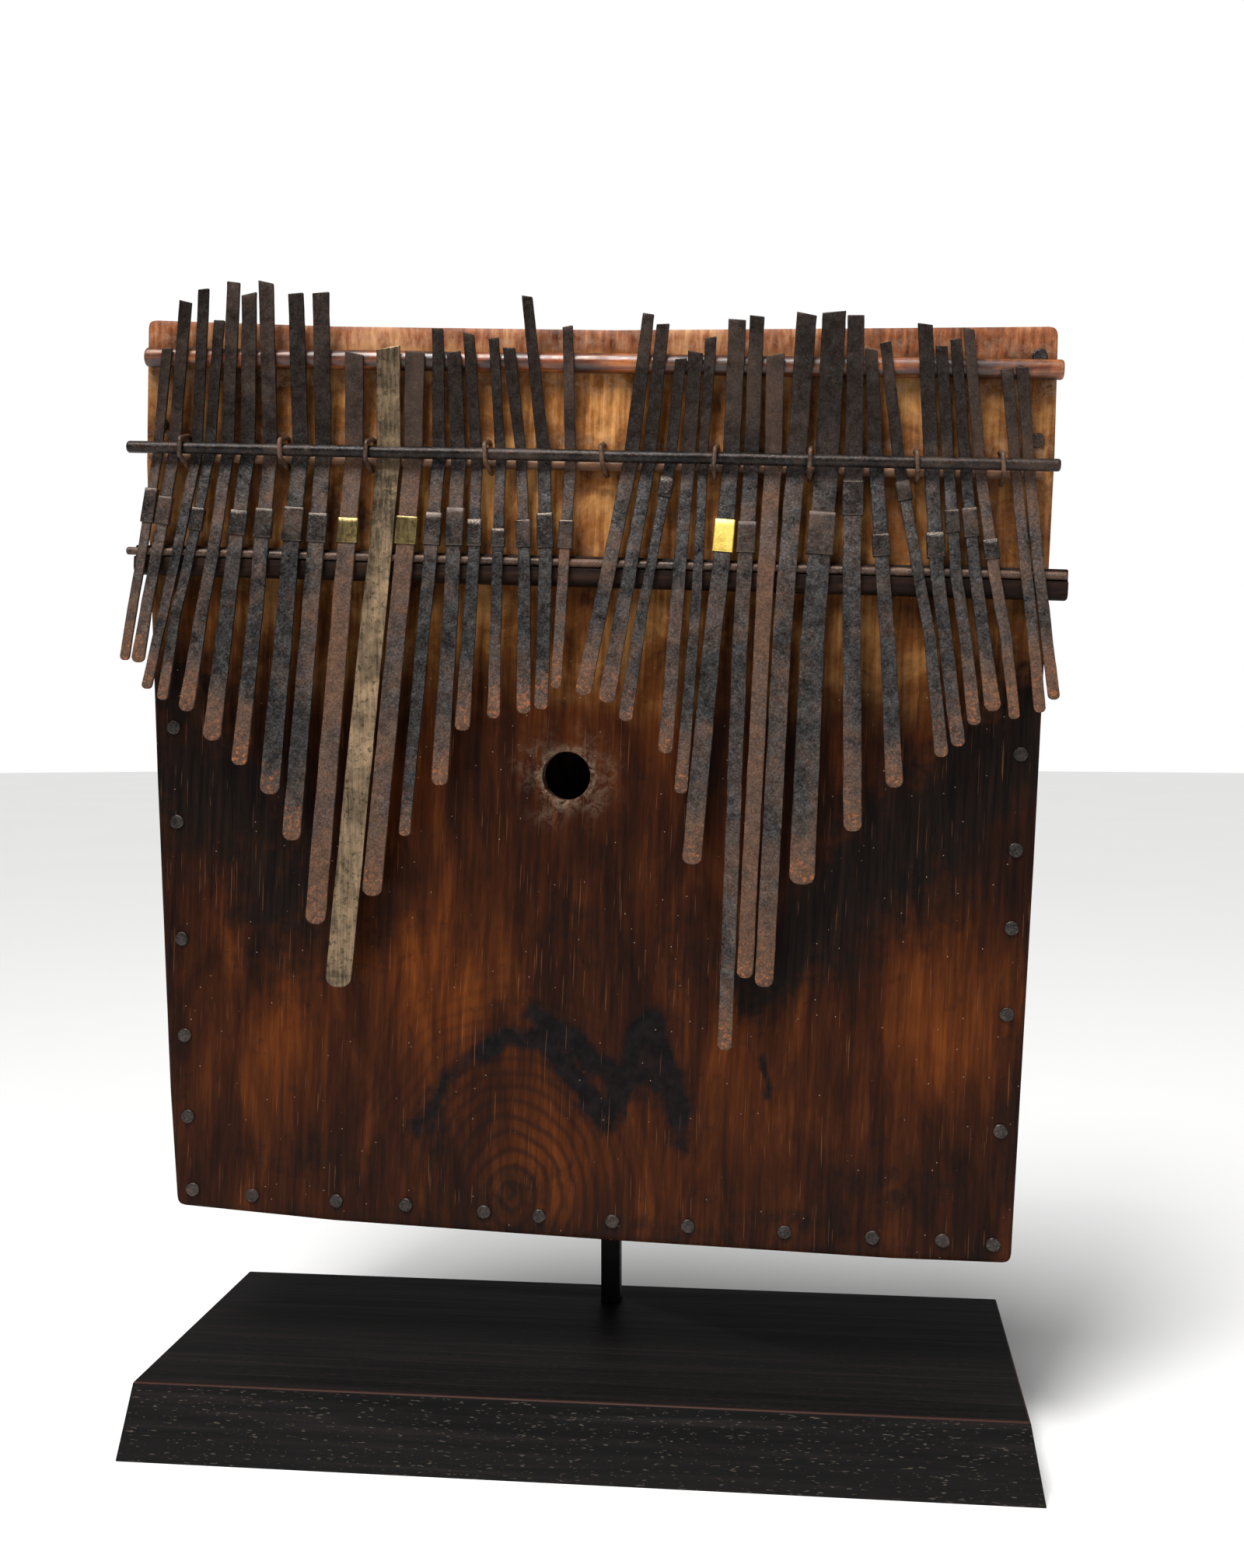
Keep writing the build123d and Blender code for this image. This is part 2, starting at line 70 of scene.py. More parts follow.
# ---- materials -------------------------------------------------------------------------------
class Paint:
    """Builds one node material."""

    def __init__(self, name, rough=0.5, metal=0.0, coords="Object"):
        self.mat = bpy.data.materials.new(name)
        self.mat.use_nodes = True
        self.tree = self.mat.node_tree
        self.bsdf = self.tree.nodes["Principled BSDF"]
        self.put(self.bsdf, "Roughness", rough)
        self.put(self.bsdf, "Metallic", metal)
        self.place = self.tree.nodes.new("ShaderNodeTexCoord").outputs["Object"]
        if coords != "Object":
            self.place = self.vector(coords)

    def put(self, node, key, value):
        socket = node.inputs[key]
        if isinstance(value, bpy.types.NodeSocket):
            self.tree.links.new(value, socket)
        else:
            socket.default_value = value

    def add(self, kind, out=0, settings=None, **inputs):
        node = self.tree.nodes.new(kind)
        for key, value in (settings or {}).items():
            setattr(node, key, value)
        for key, value in inputs.items():
            self.put(node, int(key[1:]) if key[0] == "_" and key[1:].isdigit() else key, value)
        return node.outputs[out]

    def vector(self, name):
        return self.add("ShaderNodeAttribute", out="Vector", settings={"attribute_name": name})

    def mask(self, name):
        return self.add("ShaderNodeAttribute", out="Fac", settings={"attribute_name": name})

    def stretch(self, *scale):
        return self.add("ShaderNodeMapping", Vector=self.place, Scale=scale)

    def noise(self, scale, detail=4.0, rough=0.55, vector=None, warp=0.0):
        return self.add("ShaderNodeTexNoise", Vector=vector or self.place, Scale=scale,
                        Detail=detail, Roughness=rough, Distortion=warp)

    def cells(self, scale):
        return self.add("ShaderNodeTexVoronoi", out="Distance", Vector=self.place, Scale=scale)

    def span(self, value, low, high, to_low=0.0, to_high=1.0):
        return self.add("ShaderNodeMapRange", _0=value, _1=low, _2=high, _3=to_low, _4=to_high)

    def calc(self, operation, a, b=0.0):
        return self.add("ShaderNodeMath", settings={"operation": operation}, _0=a, _1=b)

    def ramp(self, fac, *stops):
        node = self.tree.nodes.new("ShaderNodeValToRGB")
        self.put(node, "Fac", fac)
        ramp = node.color_ramp
        while len(ramp.elements) < len(stops):
            ramp.elements.new(0.5)
        for element, (place, colour) in zip(ramp.elements, stops):
            element.position = place
            element.color = (*colour, 1)
        return node.outputs["Color"]

    def mix(self, fac, a, b, blend="MIX"):
        node = self.tree.nodes.new("ShaderNodeMix")
        node.data_type, node.blend_type = "RGBA", blend
        self.put(node, 0, fac)
        self.put(node, 6, a if isinstance(a, bpy.types.NodeSocket) else (*a, 1))
        self.put(node, 7, b if isinstance(b, bpy.types.NodeSocket) else (*b, 1))
        return node.outputs[2]

    def colour(self, value):
        self.put(self.bsdf, "Base Color", value)

    def rough(self, value):
        self.put(self.bsdf, "Roughness", value)

    def bump(self, height, strength, distance=0.001):
        node = self.tree.nodes.new("ShaderNodeBump")
        node.inputs["Strength"].default_value = strength
        node.inputs["Distance"].default_value = distance
        self.put(node, "Height", height)
        if self.bsdf.inputs["Normal"].is_linked:
            self.tree.links.new(self.bsdf.inputs["Normal"].links[0].from_socket,
                                node.inputs["Normal"])
        self.put(self.bsdf, "Normal", node.outputs["Normal"])


def soundboard_paint():
    """The soundboard's wood, laid out by the masks that build_soundboard stores on its points."""
    p = Paint("soundboard_wood", coords="board")
    grain = p.noise(1.0, 6, 0.62, p.stretch(520, 26, 40), 0.4)
    figure = p.noise(1.0, 5, 0.6, p.stretch(70, 16, 20), 0.5)
    blotch = p.noise(34, 7, 0.66, warp=0.4)
    fine = p.noise(900, 3, 0.6)
    tone = p.calc("ADD", p.calc("MULTIPLY", figure, 0.62), p.calc("MULTIPLY", grain, 0.38))
    wood = p.ramp(tone, (0.34, (0.0040, 0.0013, 0.0007)), (0.45, (0.0130, 0.0032, 0.0010)),
                  (0.55, (0.0290, 0.0068, 0.0015)), (0.68, (0.0680, 0.0170, 0.0030)))
    warm = p.mix(p.mask("orange"), wood, p.ramp(
        tone, (0.34, (0.0200, 0.0048, 0.0011)), (0.50, (0.0760, 0.0170, 0.0024)),
        (0.66, (0.1550, 0.0400, 0.0056))))
    # growth rings arching round the foot of the board
    apart = p.add("ShaderNodeVectorMath", out="Value", settings={"operation": "DISTANCE"},
                  _0=p.add("ShaderNodeMapping", Vector=p.place, Scale=(1.2, 0.95, 0)),
                  _1=(-0.034, 0.012, 0))
    wave = p.calc("SINE", p.calc("ADD", p.calc("MULTIPLY", apart, 1150),
                                 p.calc("MULTIPLY", p.noise(30, 3, 0.5), 13)))
    ring = p.calc("MULTIPLY", p.span(wave, -0.2, 1.0), p.mask("rings"))
    warm = p.mix(p.calc("MULTIPLY", ring, 0.60), warm, (0.0080, 0.0030, 0.0018))
    # Golden worn wood, its brightness partly painted light falling from above.
    honey = p.ramp(p.calc("ADD", p.calc("MULTIPLY", blotch, 0.74), p.calc("MULTIPLY", grain, 0.26)),
                   (0.38, (0.0560, 0.0160, 0.0040)), (0.50, (0.2500, 0.0880, 0.0190)),
                   (0.62, (0.6400, 0.3100, 0.1000)))
    base = p.mix(p.mask("honey"), warm, honey)
    top = p.ramp(p.calc("ADD", p.calc("MULTIPLY", p.noise(34, 5, 0.6), 0.55),
                        p.calc("MULTIPLY", p.noise(1.0, 4, 0.6, p.stretch(420, 70, 90)), 0.45)),
                 (0.36, (0.0450, 0.0120, 0.0050)), (0.50, (0.2300, 0.0720, 0.0270)),
                 (0.64, (0.5200, 0.2700, 0.1250)))
    base = p.mix(p.mask("top"), base, top)
    # Char marks, plus painted shade along the board's edges and on its lower part, turn the wood
    # almost black.
    edge = p.noise(150, 5, 0.65, warp=0.5)
    darkening = p.calc("ADD", p.mask("char"), p.span(edge, 0.35, 0.65, -0.22, 0.22))
    base = p.mix(p.span(darkening, 0.15, 0.85), base, p.ramp(
        grain, (0.38, (0.0022, 0.0013, 0.0011)), (0.72, (0.0130, 0.0058, 0.0034))))
    streak = p.calc("ADD", p.mask("streak"), p.span(edge, 0.3, 0.7, -0.25, 0.25))
    base = p.mix(p.calc("MULTIPLY", p.span(streak, 0.12, 0.62), 0.95), base, p.ramp(
        p.noise(160, 5, 0.7), (0.40, (0.0014, 0.0012, 0.0016)), (0.70, (0.0085, 0.0064, 0.0070))))
    dust = p.calc("MULTIPLY", p.mask("dust"), p.span(p.noise(230, 8, 0.78, warp=0.8), 0.44, 0.64))
    base = p.mix(dust, base, (0.40, 0.30, 0.21))
    # hairline scratches, mostly along the grain, and scattered pale flecks
    scratch = p.calc("MULTIPLY", p.span(p.noise(1.0, 2, 0.5, p.stretch(1500, 34, 50), 0.25),
                                        0.675, 0.70), 0.22)
    base = p.mix(scratch, base, (0.30, 0.12, 0.05))
    fleck = p.span(p.cells(210), 0.055, 0.03)
    base = p.mix(p.calc("MULTIPLY", fleck, 0.5), base, (0.50, 0.36, 0.25))
    p.colour(base)
    p.rough(p.span(p.calc("ADD", fine, p.mask("honey")), 0.3, 1.6, 0.34, 0.66))
    p.put(p.bsdf, "Specular IOR Level", 0.08)
    p.bump(grain, 0.35, 0.0005)
    p.bump(fine, 0.20, 0.0002)
    return p.mat


def plank_paint(name, dark, mid, light, scale, gloss=0.35):
    """Old hand-worked plank wood; scale is low along the grain and high across it."""
    p = Paint(name)
    grain = p.noise(1.0, 6, 0.62, p.stretch(*scale), 0.7)
    blotch = p.noise(18, 5, 0.6, warp=0.8)
    tone = p.calc("ADD", p.calc("MULTIPLY", grain, 0.55), p.calc("MULTIPLY", blotch, 0.45))
    wood = p.ramp(tone, (0.34, dark), (0.50, mid), (0.68, light))
    worn = p.span(p.noise(240, 4, 0.7), 0.60, 0.72)
    p.colour(p.mix(p.calc("MULTIPLY", worn, 0.35), wood, tuple(1.8 * c + 0.02 for c in light)))
    p.rough(p.span(p.noise(300, 3), 0.3, 0.7, 0.42, 0.70))
    p.put(p.bsdf, "Specular IOR Level", gloss)
    p.bump(grain, 0.45, 0.0006)
    p.bump(p.noise(700, 3, 0.7), 0.25, 0.0003)
    return p.mat


def polished_rod_paint():
    """Red-brown rod wood, handled smooth and sooty in places."""
    p = Paint("polished_rod_wood")
    grain = p.noise(1.0, 6, 0.6, p.stretch(26, 420, 420), 0.6)
    wood = p.ramp(grain, (0.34, (0.030, 0.0060, 0.0025)), (0.50, (0.210, 0.0480, 0.0110)),
                  (0.68, (0.480, 0.1700, 0.0450)))
    darkening = p.span(p.noise(24, 6, 0.7, warp=0.4), 0.40, 0.56)
    wood = p.mix(p.calc("MULTIPLY", darkening, 0.9), wood, (0.012, 0.0060, 0.0050))
    p.colour(wood)
    p.rough(p.span(p.noise(160, 4), 0.3, 0.7, 0.22, 0.50))
    p.put(p.bsdf, "Coat Weight", 0.12)
    p.put(p.bsdf, "Coat Roughness", 0.2)
    p.bump(grain, 0.4, 0.0005)
    return p.mat


def iron_paint(name, steel, rust, deep, rough_low, rough_high):
    """Forged iron: dark scale, brown rust patches, fine pits and rubbed highlights."""
    p = Paint(name)
    patch = p.calc("ADD", p.noise(38, 5, 0.72, warp=0.3), p.mask("tone"))
    rusty = p.span(p.calc("ADD", patch, p.mask("tip")), 0.42, 0.70)
    grit = p.noise(1300, 3, 0.65)
    scale = p.ramp(p.calc("ADD", p.calc("MULTIPLY", grit, 0.55),
                          p.calc("MULTIPLY", p.noise(210, 5, 0.7), 0.45)),
                   (0.36, deep), (0.50, tuple(0.62 * c for c in steel)),
                   (0.66, tuple(1.7 * c for c in steel)))
    rust_tone = p.ramp(p.calc("ADD", p.calc("MULTIPLY", grit, 0.5),
                              p.calc("MULTIPLY", p.noise(240, 6, 0.75), 0.5)),
                       (0.36, tuple(0.22 * c for c in rust)), (0.50, tuple(0.62 * c for c in rust)),
                       (0.66, tuple(1.35 * c for c in rust)))
    body = p.mix(p.calc("MULTIPLY", rusty, 0.90), scale, rust_tone)
    speck = p.calc("MULTIPLY", p.span(p.noise(620, 5, 0.75), 0.54, 0.62),
                   p.span(p.mask("tip"), 0.10, 0.30, 0.06, 0.85))
    body = p.mix(speck, body, (0.330, 0.105, 0.035))
    body = p.mix(p.calc("MULTIPLY", p.mask("tail"), 0.66), body, tuple(0.13 * c for c in rust))
    body = p.mix(p.calc("MULTIPLY", p.mask("edge"), 0.55), body, (0.095, 0.072, 0.054))
    p.colour(body)
    p.put(p.bsdf, "Metallic", p.span(rusty, 0.0, 0.8, 0.70, 0.10))
    p.put(p.bsdf, "Specular IOR Level", 0.3)
    p.rough(p.calc("ADD", p.span(rusty, 0, 1, rough_low, rough_high),
                   p.span(p.noise(420, 3), 0.3, 0.7, -0.06, 0.08)))
    p.bump(p.noise(420, 6, 0.75), 0.50, 0.0005)
    p.bump(grit, 0.30, 0.0002)
    return p.mat


def brass_paint(name, clean, tarnish, stained):
    """Brass with cloudy tarnish, lengthwise streaks and dark spots of strength stained."""
    p = Paint(name, metal=0.85)
    patch = p.noise(42, 7, 0.72, warp=0.5)
    streaks = p.noise(1.0, 5, 0.65, p.stretch(900, 900, 45), 0.2)
    tone = p.calc("ADD", p.calc("MULTIPLY", patch, 0.6), p.calc("MULTIPLY", streaks, 0.4))
    metal = p.ramp(tone, (0.40, tarnish), (0.50, tuple(0.55 * a + 0.45 * b for a, b in
                                                     zip(tarnish, clean))), (0.62, clean))
    spots = p.span(p.noise(520, 6, 0.75), 0.53, 0.62)
    p.colour(p.mix(p.calc("MULTIPLY", spots, stained), metal, (0.035, 0.030, 0.016)))
    p.rough(p.span(patch, 0.3, 0.7, 0.26, 0.52))
    p.bump(p.noise(420, 4, 0.7), 0.35, 0.0004)
    return p.mat


def base_paint():
    """Black-stained base: pale open pores on the sides and a thin worn line round the top edge."""
    p = Paint("stained_base_wood")
    grain = p.noise(1.0, 6, 0.6, p.stretch(9, 300, 300), 0.5)
    dark = p.ramp(grain, (0.36, (0.0018, 0.0016, 0.0016)), (0.52, (0.0040, 0.0032, 0.0031)),
                  (0.72, (0.0110, 0.0080, 0.0070)))
    height = p.add("ShaderNodeSeparateXYZ", out="Z", Vector=p.place)
    pores = p.span(p.noise(1.0, 2, 0.5, p.stretch(330, 1500, 1700), 0.0), 0.645, 0.69)
    side = p.span(height, 0.0278, 0.0270, 0.10, 0.75)
    body = p.mix(p.calc("MULTIPLY", pores, side), dark, (0.075, 0.058, 0.045))
    arris = p.calc("MULTIPLY", p.span(height, 0.0278, 0.0281),
                   p.span(height, 0.02859, 0.0284))
    p.colour(p.mix(p.calc("MULTIPLY", arris, 0.6), body, (0.060, 0.020, 0.012)))
    p.rough(p.span(grain, 0.3, 0.7, 0.44, 0.58))
    p.put(p.bsdf, "Specular IOR Level", 0.14)
    p.bump(p.calc("SUBTRACT", grain, p.calc("MULTIPLY", pores, 0.6)), 0.30, 0.0004)
    return p.mat


def plain_metal_paint(name, colour, rough, metal):
    """Even, slightly clouded metal."""
    p = Paint(name, metal=metal)
    cloud = p.noise(140, 5, 0.6)
    p.colour(p.ramp(cloud, (0.35, tuple(0.7 * c for c in colour)), (0.65, tuple(
        1.35 * c for c in colour))))
    p.rough(p.span(p.noise(600, 4), 0.3, 0.7, rough - 0.08, rough + 0.1))
    p.bump(p.noise(1600, 3, 0.6), 0.25, 0.0002)
    return p.mat


IRON = iron_paint("tine_iron", (0.062, 0.060, 0.059), (0.125, 0.058, 0.029),
                  (0.0050, 0.0040, 0.0036), 0.28, 0.60)
WIRE_IRON = iron_paint("wire_iron", (0.075, 0.058, 0.048), (0.170, 0.085, 0.050),
                       (0.0120, 0.0080, 0.0060), 0.30, 0.52)
SLEEVE_IRON = iron_paint("sleeve_iron", (0.048, 0.042, 0.038), (0.085, 0.044, 0.027),
                         (0.0060, 0.0045, 0.0040), 0.22, 0.46)
NAIL_IRON = iron_paint("nail_iron", (0.052, 0.047, 0.043), (0.080, 0.042, 0.026),
                       (0.0100, 0.0080, 0.0070), 0.26, 0.55)
BAR_IRON = iron_paint("bar_iron", (0.020, 0.018, 0.017), (0.070, 0.036, 0.022),
                      (0.0040, 0.0034, 0.0030), 0.22, 0.50)
OLD_BRASS = brass_paint("old_brass", (0.400, 0.275, 0.165), (0.062, 0.048, 0.032), 0.75)
SLEEVE_BRASS = brass_paint("sleeve_brass", (0.300, 0.225, 0.085), (0.085, 0.060, 0.024), 0.7)
BRIGHT_BRASS = brass_paint("bright_brass", (0.930, 0.700, 0.170), (0.720, 0.480, 0.090), 0.12)
BOARD_WOOD = soundboard_paint()
WALL_TONES = ((0.010, 0.0032, 0.0020), (0.042, 0.0115, 0.0042), (0.120, 0.0400, 0.0130))
UPRIGHT_WOOD = plank_paint("upright_wood", *WALL_TONES, (380, 380, 22))
LEVEL_WOOD = plank_paint("level_wood", *WALL_TONES, (22, 380, 380))
BAR_WOOD = polished_rod_paint()
# The bridge bar's dark wood, made darker still as painted shade for the shadow it lies in under the
# tines.
DARK_SHADED_WOOD = plank_paint("bridge_bar_wood_painted_shade", (0.0035, 0.0022, 0.0018), (0.011, 0.0052, 0.0034),
                        (0.036, 0.017, 0.010), (30, 380, 380), 0.08)
TIE_WOOD = plank_paint("tie_bar_wood", (0.030, 0.012, 0.006), (0.110, 0.045, 0.018),
                       (0.230, 0.120, 0.055), (30, 380, 380))
BASE_WOOD = base_paint()
BLACK_STEEL = plain_metal_paint("black_steel", (0.0045, 0.0045, 0.0045), 0.55, 0.6)
ZINC = plain_metal_paint("zinc_screw", (0.32, 0.32, 0.31), 0.38, 0.9)


# ---- mesh helpers ----------------------------------------------------------------------------
def finish_piece(name, bm, node, paint, smooth=40.0):
    """Turns a bmesh into a piece that stands for a CAD node and rides on its body."""
    mesh = bpy.data.meshes.new(name)
    bmesh.ops.recalc_face_normals(bm, faces=bm.faces)
    bm.to_mesh(mesh)
    bm.free()
    piece = bpy.data.objects.new(name, mesh)
    bpy.context.scene.collection.objects.link(piece)
    mesh.materials.append(paint)
    mesh.shade_smooth()
    mesh.set_sharp_from_angle(angle=radians(smooth))
    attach(piece, BODY_OF[node])
    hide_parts(node)
    return piece


def cad_copy(node):
    """A clean copy of a CAD node's mesh, with flat regions joined into single faces."""
    bm = bmesh.new()
    bm.from_mesh(NODES[node].data)
    bmesh.ops.remove_doubles(bm, verts=bm.verts, dist=2e-6)
    bmesh.ops.dissolve_limit(bm, angle_limit=radians(1.0), verts=bm.verts, edges=bm.edges)
    return bm


def islands(bm):
    """The separate solids of a bmesh, as lists of faces."""
    left, groups = set(bm.faces), []
    while left:
        stack, group = [left.pop()], []
        while stack:
            face = stack.pop()
            group.append(face)
            for edge in face.edges:
                for other in edge.link_faces:
                    if other in left:
                        left.discard(other)
                        stack.append(other)
        groups.append(group)
    return groups


def soften(bm, width, segments=2, angle=35.0):
    """Rounds a bmesh's sharp edges by width metres."""
    sharp = [e for e in bm.edges
             if len(e.link_faces) == 2 and e.calc_face_angle(0) > radians(angle)]
    bmesh.ops.bevel(bm, geom=sharp, offset=width, segments=segments, affect="EDGES",
                    profile=0.6, clamp_overlap=True)


def slice_along(bm, direction, step):
    """Cuts a bmesh across direction every step metres, so that it can be shaped along it."""
    spans = [v.co.dot(direction) for v in bm.verts]
    place = min(spans) + step * 0.6
    while place < max(spans) - step * 0.3:
        bmesh.ops.bisect_plane(bm, geom=list(bm.verts) + list(bm.edges) + list(bm.faces),
                               plane_co=direction * place, plane_no=direction, dist=1e-7)
        place += step


def wobble(bm, amounts, size, seed):
    """Pushes vertices about by smooth noise: amounts are (u, v, w) in millimetres."""
    shift = Vector((seed * 7.31, seed * 3.17, seed * 1.93))
    for vert in bm.verts:
        n = noise.noise_vector(vert.co / size + shift)
        fine = noise.noise_vector(vert.co / (size * 0.27) + shift) * 0.35
        d = n + fine
        vert.co += (ACROSS * d.x * amounts[0] + UP * d.y * amounts[1] + OUT * d.z * amounts[2]) * MM


def point_values(piece, **values):
    """Stores one number per vertex for each named mask."""
    for name, numbers in values.items():
        layer = piece.data.attributes.new(name, "FLOAT", "POINT")
        layer.data.foreach_set("value", np.asarray(numbers, np.float32))


# ---- soundboard ------------------------------------------------------------------------------
LEFT = [(0, -161.5), (44, -165.6), (166, -174.2), (290, -181.9), (346, -182.6)]
RIGHT = [(0, 161.5), (150, 163.2), (300, 164.0), (347, 163.2)]
LOWER = [(-162, 0), (-98, -2.0), (8, -2.1), (118, -1.4), (162, 0)]
UPPER = [(-183, 345.6), (-108, 344.0), (0, 343.8), (93, 345.6), (164, 347.0)]
CORNER = 3.2


def along(table, x):
    xs, ys = zip(*table)
    return float(np.interp(x, xs, ys))


def build_soundboard():
    """A fine grid over the board's outline, with its sound hole, worn rims, and masks for stains,
    painted light and painted shade.
    """
    cols, rows = 208, 208
    bm = bmesh.new()
    grid = []
    for j in range(rows + 1):
        t = j / rows
        line = []
        for i in range(cols + 1):
            s = i / cols
            u = -172 + 336 * s
            for _ in range(3):
                v = along(LOWER, u) * (1 - t) + along(UPPER, u) * t
                u = along(LEFT, v) * (1 - s) + along(RIGHT, v) * s
            # round the four corners and roll the rim over
            du = min(u - along(LEFT, v), along(RIGHT, v) - u)
            dv = min(v - along(LOWER, u), along(UPPER, u) - v)
            if du < CORNER and dv < CORNER:
                cu, cv = CORNER - du, CORNER - dv
                reach = max(cu, cv)
                length = (cu * cu + cv * cv) ** 0.5 or 1.0
                pull_u, pull_v = cu - cu / length * reach, cv - cv / length * reach
                u += pull_u if s < 0.5 else -pull_u
                v += pull_v if t < 0.5 else -pull_v
            line.append(bm.verts.new((u, v, 0)))
        grid.append(line)
    for j in range(rows):
        for i in range(cols):
            bm.faces.new((grid[j][i], grid[j][i + 1], grid[j + 1][i + 1], grid[j + 1][i]))
    # open the sound hole and pull its rim onto a true circle
    centre = Vector((HOLE[0], HOLE[1], 0))
    gone = [f for f in bm.faces if (f.calc_center_median() - centre).length < HOLE[2]]
    bmesh.ops.delete(bm, geom=gone, context="FACES")
    rim = [v for v in bm.verts if v.is_boundary and (v.co - centre).length < HOLE[2] + 4]
    for vert in rim:
        arm = vert.co - centre
        vert.co = centre + arm * (HOLE[2] / arm.length)
    border = [e for e in bm.edges if e.is_boundary]
    skirt = bmesh.ops.extrude_edge_only(bm, edges=border)["geom"]
    fresh = [v for v in skirt if isinstance(v, bmesh.types.BMVert)]
    for vert in fresh:
        vert.co.z = -1.0
    border = [e for e in skirt if isinstance(e, bmesh.types.BMEdge) and e.is_boundary]
    skirt = bmesh.ops.extrude_edge_only(bm, edges=border)["geom"]
    deep = [v for v in skirt if isinstance(v, bmesh.types.BMVert)]
    for vert in deep:
        vert.co.z = -8.0
    bmesh.ops.holes_fill(bm, edges=[e for e in bm.edges if e.is_boundary], sides=0)
    back = [f for f in bm.faces if len(f.verts) > 20]
    outer = max(back, key=lambda f: len(f.verts))
    inner = [f for f in back if f is not outer]
    if inner:
        ring = list(outer.edges) + list(inner[0].edges)
        bmesh.ops.delete(bm, geom=back, context="FACES_ONLY")
        bmesh.ops.triangle_fill(bm, edges=ring, use_beauty=True)
    local = []
    for vert in bm.verts:
        u, v, w = vert.co
        if w > -0.01:
            rim_gap = min(u - along(LEFT, v), along(RIGHT, v) - u, v - along(LOWER, u),
                          along(UPPER, u) - v)
            hole_gap = (Vector((u, v, 0)) - centre).length - HOLE[2]
            w -= 0.75 * max(0.0, 1 - rim_gap / 1.6) ** 2 + 0.5 * max(0.0, 1 - hole_gap / 2.2) ** 2
            w += 0.16 * noise.noise(Vector((u / 31, v / 46, 3.1))) - 0.10
            w += 0.07 * noise.noise(Vector((u / 7, v / 12, 8.7)))
        local.append((u, v, w))
    for vert, place in zip(bm.verts, local):
        vert.co = to_world(*place)
    piece = finish_piece("soundboard_face", bm, "soundboard", BOARD_WOOD, 50)
    coords = piece.data.attributes.new("board", "FLOAT_VECTOR", "POINT")
    coords.data.foreach_set("vector", (np.array(local, np.float32) * MM).ravel())
    u, v = np.array(local)[:, 0], np.array(local)[:, 1]
    big = np.array([noise.noise_vector(Vector((a / 26, b / 26, 1.7))) for a, b in zip(u, v)])
    small = np.array([noise.noise_vector(Vector((a / 8, b / 8, 5.2))) for a, b in zip(u, v)])
    uu = u + 9 * big[:, 0] + 3 * small[:, 0]
    vv = v + 9 * big[:, 1] + 3 * small[:, 1]

    def blob(cu, cv, ru, rv, turn=0.0):
        a = radians(turn)
        x, y = uu - cu, vv - cv
        p, q = x * cos(a) + y * sin(a), -x * sin(a) + y * cos(a)
        return np.exp(-((p / ru) ** 2 + (q / rv) ** 2) * 1.4)

    def trail(points, width, x=uu, y=vv):
        best = np.full(len(x), 1e9)
        for (a, b), (c, d) in zip(points, points[1:]):
            length2 = (c - a) ** 2 + (d - b) ** 2
            t = np.clip(((x - a) * (c - a) + (y - b) * (d - b)) / length2, 0, 1)
            best = np.minimum(best, np.hypot(x - a - t * (c - a), y - b - t * (d - b)))
        return np.exp(-(best / width) ** 2 * 1.2)

    # Char marks, plus painted shade: darkening along the bottom and side edges and broad dark
    # patches on the lower board.
    char = np.max([
        1.10 * blob(-150, 160, 50, 36, -35), 0.95 * blob(-126, 128, 26, 38, 20),
        0.85 * blob(-165, 200, 34, 22), 1.05 * trail([(168, 205), (126, 169), (98, 139)], 28),
        1.0 * trail([(98, 139), (86, 120), (64, 102)], 20), 0.34 * blob(36, 112, 12, 24),
        0.60 * blob(-172, 70, 12, 56), 0.62 * blob(-28, 16, 30, 12, 20),
        0.55 * blob(112, 26, 30, 18), 0.50 * blob(-90, 112, 26, 16), 0.40 * blob(46, 186, 14, 26),
        0.48 * blob(80, 12, 34, 10), 0.42 * blob(-4, 118, 22, 24), 0.55 * blob(164, 60, 9, 60),
        0.45 * blob(-62, 34, 14, 26), 0.42 * blob(-110, 20, 30, 12), 0.40 * blob(66, 118, 16, 20),
        0.5 * blob(0, 0, 150, 6)], axis=0)
    near_x, near_y = u + 4 * big[:, 0] + 2.2 * small[:, 0], v + 4 * big[:, 1] + 2.2 * small[:, 1]
    streak = np.max([
        0.62 * trail([(-66, 38), (-60, 50), (-51, 60), (-42, 67)], 4.0, near_x, near_y),
        0.95 * trail([(-42, 67), (-31, 73), (-17, 72), (-4, 58), (9, 45)], 4.8, near_x, near_y),
        trail([(-21, 83), (-8, 74), (8, 62), (14, 56)], 4.4, near_x, near_y),
        trail([(9, 45), (14, 60), (18, 74), (24, 82), (31, 68), (36, 48)], 5.6, near_x, near_y),
        0.72 * trail([(16, 58), (24, 66), (28, 56)], 6.0, near_x, near_y),
        0.50 * trail([(36, 48), (38, 36)], 5.0, near_x, near_y),
        0.70 * trail([(68, 72), (69, 58)], 1.8, near_x, near_y)], axis=0)
    # Golden worn wood between the bridges, brightened as painted light from above; it fades out
    # down the board and towards the sides.
    fade = np.clip((vv - 196) / 34, 0, 1)
    honey = fade * np.clip(1.25 - np.abs(u + 5) / 230, 0.25, 1)
    honey *= np.clip(0.55 + (v - 243) / 20, 0.55, 1.0)
    honey *= np.clip((342 - v) / 8, 0, 1)
    top = np.clip((v - 333) / 5, 0, 1)
    orange = np.clip(np.max([
        0.9 * blob(-62, 92, 30, 40, 10), 0.8 * blob(-120, 66, 26, 34), 0.7 * blob(62, 78, 20, 44),
        0.8 * blob(128, 84, 26, 36), 0.75 * blob(-6, 28, 26, 26), 0.6 * blob(0, 200, 46, 26),
        0.6 * blob(-76, 164, 20, 30), 0.5 * blob(30, 24, 20, 40), 0.6 * blob(52, 168, 12, 30)],
        axis=0), 0, 1)
    away = np.hypot(u - HOLE[0], v - HOLE[1])
